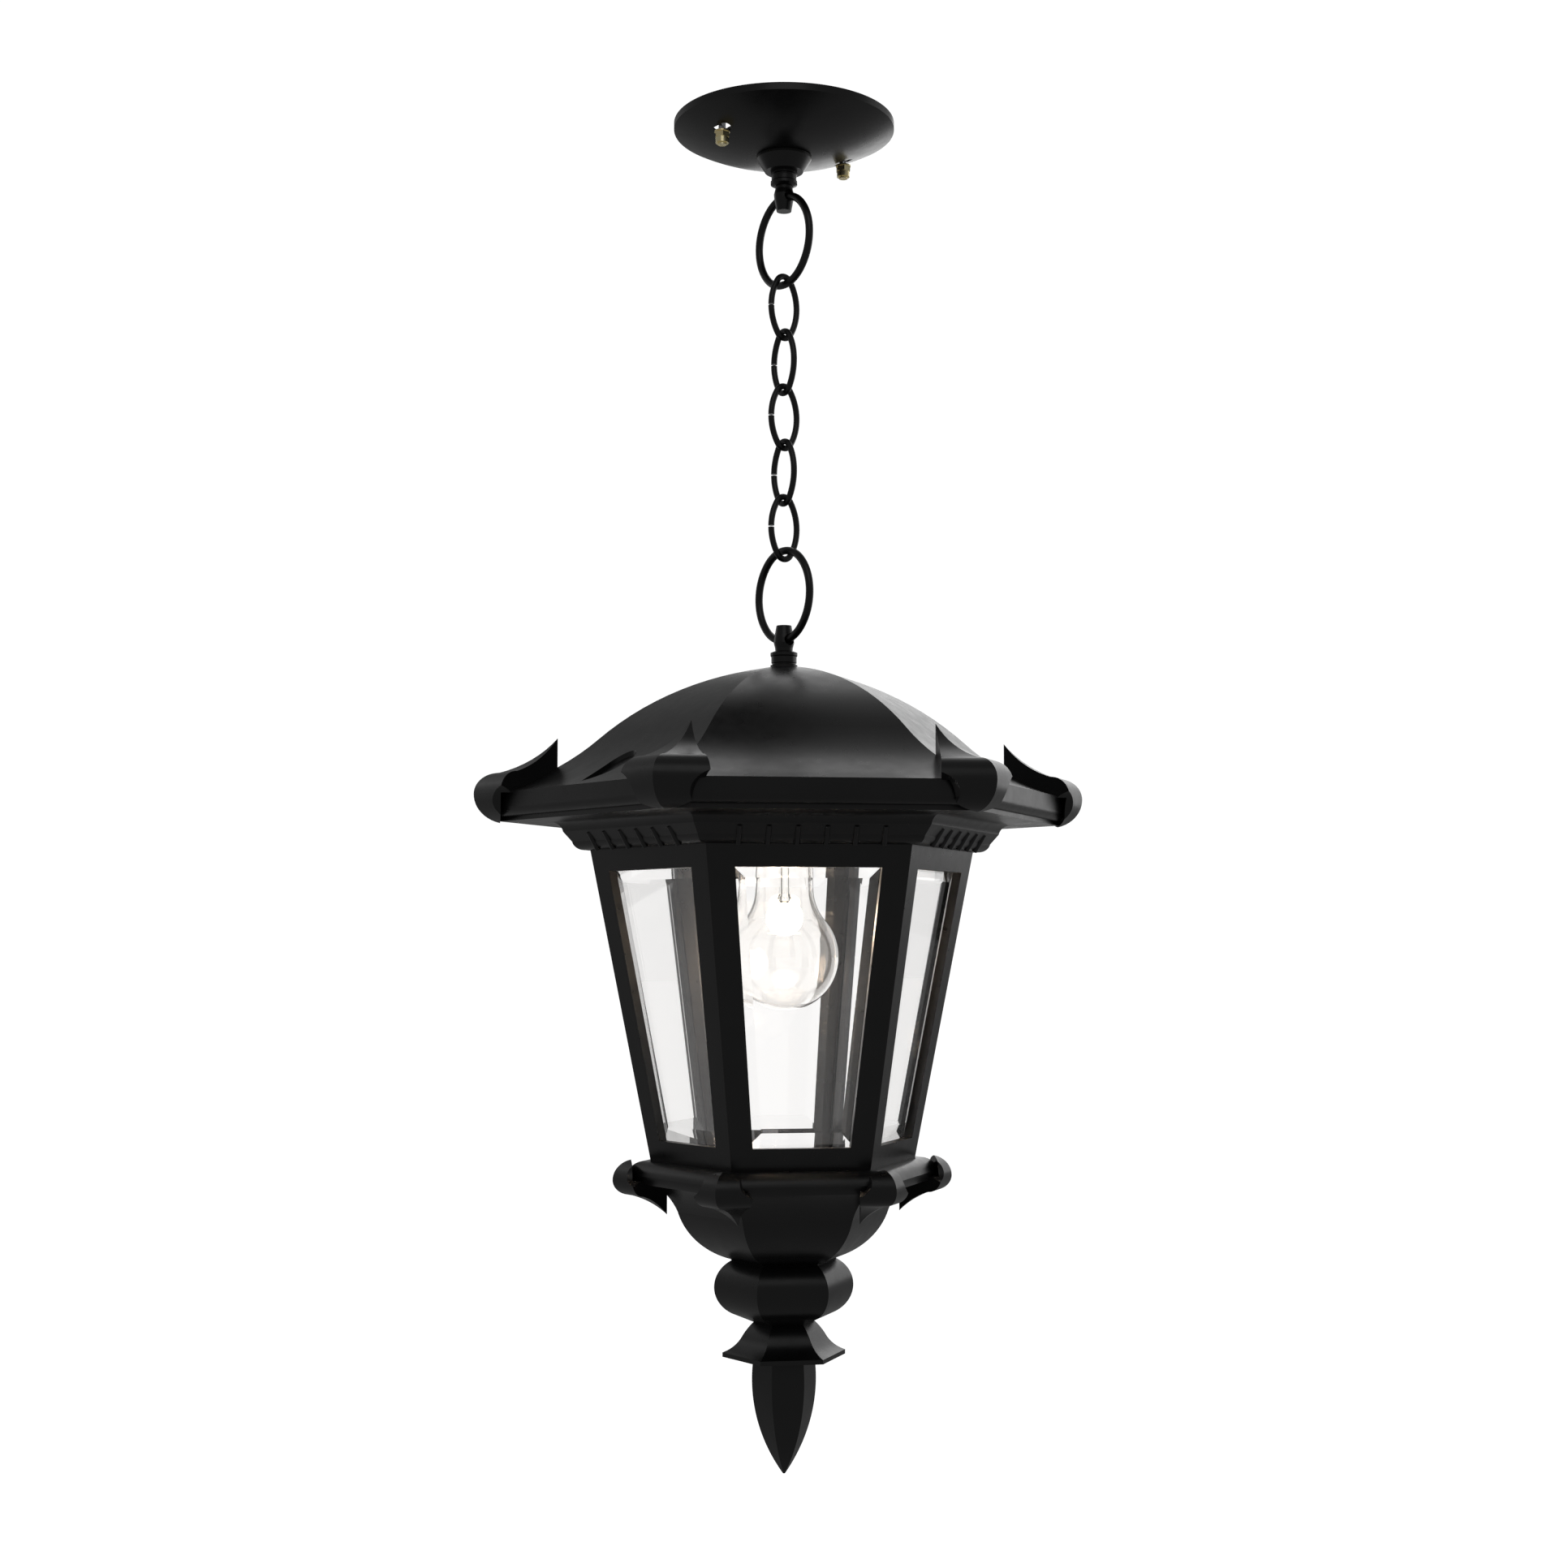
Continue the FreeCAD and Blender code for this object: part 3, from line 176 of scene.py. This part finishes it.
def coated(name, dark, light, roughness, grain_depth=0.000004):
    """Satin powder coat: a fine even grain, with its gloss a little uneven."""
    m = Nodes(name)
    blotches = m.noise(60)
    uneven_gloss = m.noise(140, 3.0)
    grain = m.noise(900)
    colour = m.tint(blotches, dark, light)
    rough = m.spread(uneven_gloss, roughness - 0.03, roughness + 0.03)
    normal = m.bump(grain, grain_depth)
    return m.finish(m.principled(Base_Color=colour, Roughness=rough, Normal=normal, IOR=1.48))


def metal(name, dark, light, roughness, mark_depth=0.00001):
    """Bare metal with faint tarnish and tool marks."""
    m = Nodes(name)
    tarnish = m.noise(180, 3.0)
    uneven_gloss = m.noise(700)
    tool_marks = m.noise(1800)
    colour = m.tint(tarnish, dark, light)
    rough = m.spread(uneven_gloss, roughness - 0.05, roughness + 0.05)
    normal = m.bump(tool_marks, mark_depth)
    return m.finish(m.principled(Base_Color=colour, Metallic=1.0, Roughness=rough, Normal=normal))


def glass(name, tint, roughness, wave_depth, waves_per_metre, painted_glow=0.0):
    """Clear glass with a faint wave in its face. It lets the lamps' light through.

    painted_glow is painted light: a faint emission in the glass itself that stands in for the lit bulb's
    glow.
    """
    m = Nodes(name)
    smears = m.noise(90, 3.0)
    waves = m.noise(waves_per_metre, 1.0)
    rough = m.spread(smears, 0.0, roughness)
    normal = m.bump(waves, wave_depth)
    clear = m.principled(
        Base_Color=tint,
        Roughness=rough,
        Normal=normal,
        IOR=1.5,
        Transmission_Weight=1.0,
        # Painted glow: a faint warm emission in the glass itself, standing in for the lit bulb's glow.
        Emission_Color=(1.0, 0.93, 0.87),
        Emission_Strength=painted_glow,
    )
    through = m.add("ShaderNodeBsdfTransparent")
    path = m.add("ShaderNodeLightPath")
    either = m.add("ShaderNodeMixShader")
    m.link(path.outputs["Is Shadow Ray"], either.inputs["Fac"])
    m.link(clear, either.inputs[1])
    m.link(through.outputs["BSDF"], either.inputs[2])
    return m.finish(either.outputs["Shader"])


def glazed(name, dark, light):
    """Fired porcelain: a smooth coat over a slightly mottled body."""
    m = Nodes(name)
    mottle = m.noise(250, 3.0)
    ripple = m.noise(300)
    colour = m.tint(mottle, dark, light)
    normal = m.bump(ripple, 0.00002)
    return m.finish(m.principled(Base_Color=colour, Roughness=0.35, Coat_Weight=0.6, Normal=normal))


def hot_wire(name, strength):
    """A lit filament, whose heat is uneven along it."""
    m = Nodes(name)
    heat = m.noise(900)
    glow = m.tint(heat, (1.0, 0.62, 0.30), (1.0, 0.80, 0.52))
    rough = m.spread(heat, 0.4, 0.6)
    return m.finish(
        m.principled(
            Base_Color=(0.3, 0.3, 0.3),
            Roughness=rough,
            Emission_Color=glow,
            Emission_Strength=strength,
        )
    )


SLOTS = {
    "black_coat": coated("satin_black", (0.0035, 0.0035, 0.0037), (0.0060, 0.0060, 0.0062), 0.30),
    "black_chain": coated("chain_black", (0.0035, 0.0035, 0.0037), (0.0070, 0.0070, 0.0070), 0.30, 0.000005),
    "zinc_steel": metal("zinc_plate", (0.42, 0.43, 0.45), (0.60, 0.60, 0.62), 0.30),
    "polished_brass": metal("polished_brass", (1.0, 0.82, 0.44), (1.0, 0.93, 0.60), 0.20),
    "green_screw": coated("green_dye", (0.02, 0.16, 0.05), (0.04, 0.24, 0.08), 0.35),
    "clip_spring": metal("spring_sheet", (0.25, 0.26, 0.27), (0.36, 0.36, 0.38), 0.35),
    "pane_glass": glass("pane_glass", (0.982, 0.977, 0.972), 0.012, 0.00002, 12),
    "porcelain": glazed("porcelain", (0.72, 0.71, 0.67), (0.80, 0.79, 0.76)),
    "cap_metal": metal("cap_aluminium", (0.60, 0.60, 0.60), (0.78, 0.78, 0.78), 0.22),
    # The bulb's glass has a painted glow: a faint warm emission that stands in for the lit bulb's haze.
    "bulb_envelope": glass("blown_glass", (0.99, 0.985, 0.975), 0.03, 0.00001, 40, 0.035),
    "bulb_stem_glass": glass("stem_glass", (0.96, 0.97, 0.96), 0.05, 0.0001, 120),
    "insulator_glass": glazed("black_glass", (0.010, 0.010, 0.012), (0.020, 0.020, 0.022)),
    "contact_metal": metal("solder_tip", (0.40, 0.40, 0.40), (0.55, 0.55, 0.55), 0.40),
    "tungsten": hot_wire("lit_tungsten", 3.0),
}

slot_of = {item["node"]: item["material_slot"] for item in frame["record"]["subparts"]}
for node, piece in NODES.items():
    piece.data.materials.clear()
    piece.data.materials.append(SLOTS[slot_of[node]])


# ---------------------------------------------------------------- stage, lights and camera


def pale_floor():
    """A wide pale floor well below the lantern."""
    floor_height = cad_box[0][2] - FLOOR_DROP
    sides = ((-1, -1), (1, -1), (1, 1), (-1, 1))
    mesh = bpy.data.meshes.new("floor")
    corners = [(x * FLOOR_REACH, y * FLOOR_REACH, floor_height) for x, y in sides]
    mesh.from_pydata(corners, [], [(0, 1, 2, 3)])
    floor = bpy.data.objects.new("floor", mesh)
    bpy.context.scene.collection.objects.link(floor)
    m = Nodes("pale_floor")
    wide_mottle = m.noise(0.5)
    colour = m.tint(wide_mottle, (0.90, 0.90, 0.90), (0.93, 0.93, 0.93))
    white = m.principled(
        Base_Color=colour, Roughness=0.9, Emission_Color=(1.0, 1.0, 1.0), Emission_Strength=0.9
    )
    mesh.materials.append(m.finish(white))
    floor.visible_glossy = False
    floor.visible_diffuse = False


def surround():
    """A surround that is white to the eye and through glass, and a dim fill for everything else.

    Each reflection on the way to it halves what is seen through glass.
    """
    world = bpy.data.worlds.new("surround")
    world.use_nodes = True
    tree = world.node_tree
    tree.nodes.clear()

    def background(strength):
        node = tree.nodes.new("ShaderNodeBackground")
        node.inputs["Color"].default_value = (1, 1, 1, 1)
        node.inputs["Strength"].default_value = strength
        return node.outputs["Background"]

    def combined(operation, first, second):
        node = tree.nodes.new("ShaderNodeMath")
        node.operation = operation
        for socket, value in zip(node.inputs, (first, second)):
            if isinstance(value, bpy.types.NodeSocket):
                tree.links.new(value, socket)
            else:
                socket.default_value = value
        return node.outputs["Value"]

    path = tree.nodes.new("ShaderNodeLightPath").outputs
    halved = combined("POWER", 0.5, path["Glossy Depth"])
    through_glass = combined("MULTIPLY", path["Is Transmission Ray"], halved)
    mix = tree.nodes.new("ShaderNodeMixShader")
    tree.links.new(combined("MAXIMUM", path["Is Camera Ray"], through_glass), mix.inputs["Fac"])
    tree.links.new(background(FILL), mix.inputs[1])
    tree.links.new(background(WHITE), mix.inputs[2])
    output = tree.nodes.new("ShaderNodeOutputWorld")
    tree.links.new(mix.outputs["Shader"], output.inputs["Surface"])
    bpy.context.scene.world = world


def facing(position, target):
    """A placement at a position whose -Z looks at a target."""
    direction = Vector(target) - Vector(position)
    return Matrix.Translation(position) @ direction.to_track_quat("-Z", "Y").to_matrix().to_4x4()


def softbox(name, azimuth, elevation, width, height, power, target):
    """A soft lamp that faces the target and isn't seen itself, only in reflections."""
    lamp = bpy.data.lights.new(name, "AREA")
    lamp.shape = "RECTANGLE"
    lamp.size, lamp.size_y = width, height
    lamp.energy = power
    turn, rise = math.radians(azimuth), math.radians(elevation)
    level = math.cos(rise)
    offset = Vector((math.cos(turn) * level, math.sin(turn) * level, math.sin(rise)))
    item = bpy.data.objects.new(name, lamp)
    item.matrix_world = facing(Vector(target) + offset * LAMP_DISTANCE, target)
    item.visible_camera = False
    item.visible_transmission = False
    bpy.context.scene.collection.objects.link(item)


def filament_glow():
    """The lit bulb's warm light, from the middle of its filament."""
    glow = bpy.data.lights.new("filament_glow", "POINT")
    glow.energy = GLOW_POWER
    glow.color = GLOW_COLOUR
    glow.shadow_soft_size = GLOW_RADIUS
    item = bpy.data.objects.new("filament_glow", glow)
    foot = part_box("bulb_filament")[0]
    item.location = (0, 0, foot.z + GLOW_RISE)
    bpy.context.scene.collection.objects.link(item)
    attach(item, "bulb")


pale_floor()
surround()
middle = (0, 0, (cad_box[0][2] + cad_box[1][2]) / 2)
for lamp in LAMPS:
    softbox(*lamp, middle)
filament_glow()

turn = math.radians(CAMERA_AZIMUTH)
camera_data = bpy.data.cameras.new("camera")
camera_data.lens = LENS
camera_data.sensor_width = SENSOR_WIDTH
camera = bpy.data.objects.new("camera", camera_data)
camera.location = (CAMERA_DISTANCE * math.sin(turn), -CAMERA_DISTANCE * math.cos(turn), CAMERA_HEIGHT)
camera.rotation_euler = (math.radians(90 + CAMERA_PITCH), 0, turn)
bpy.context.scene.collection.objects.link(camera)

scene = bpy.context.scene
scene.camera = camera
scene.view_settings.view_transform = "Standard"
scene.cycles.max_bounces = 24
scene.cycles.transmission_bounces = 24
scene.cycles.transparent_max_bounces = 16
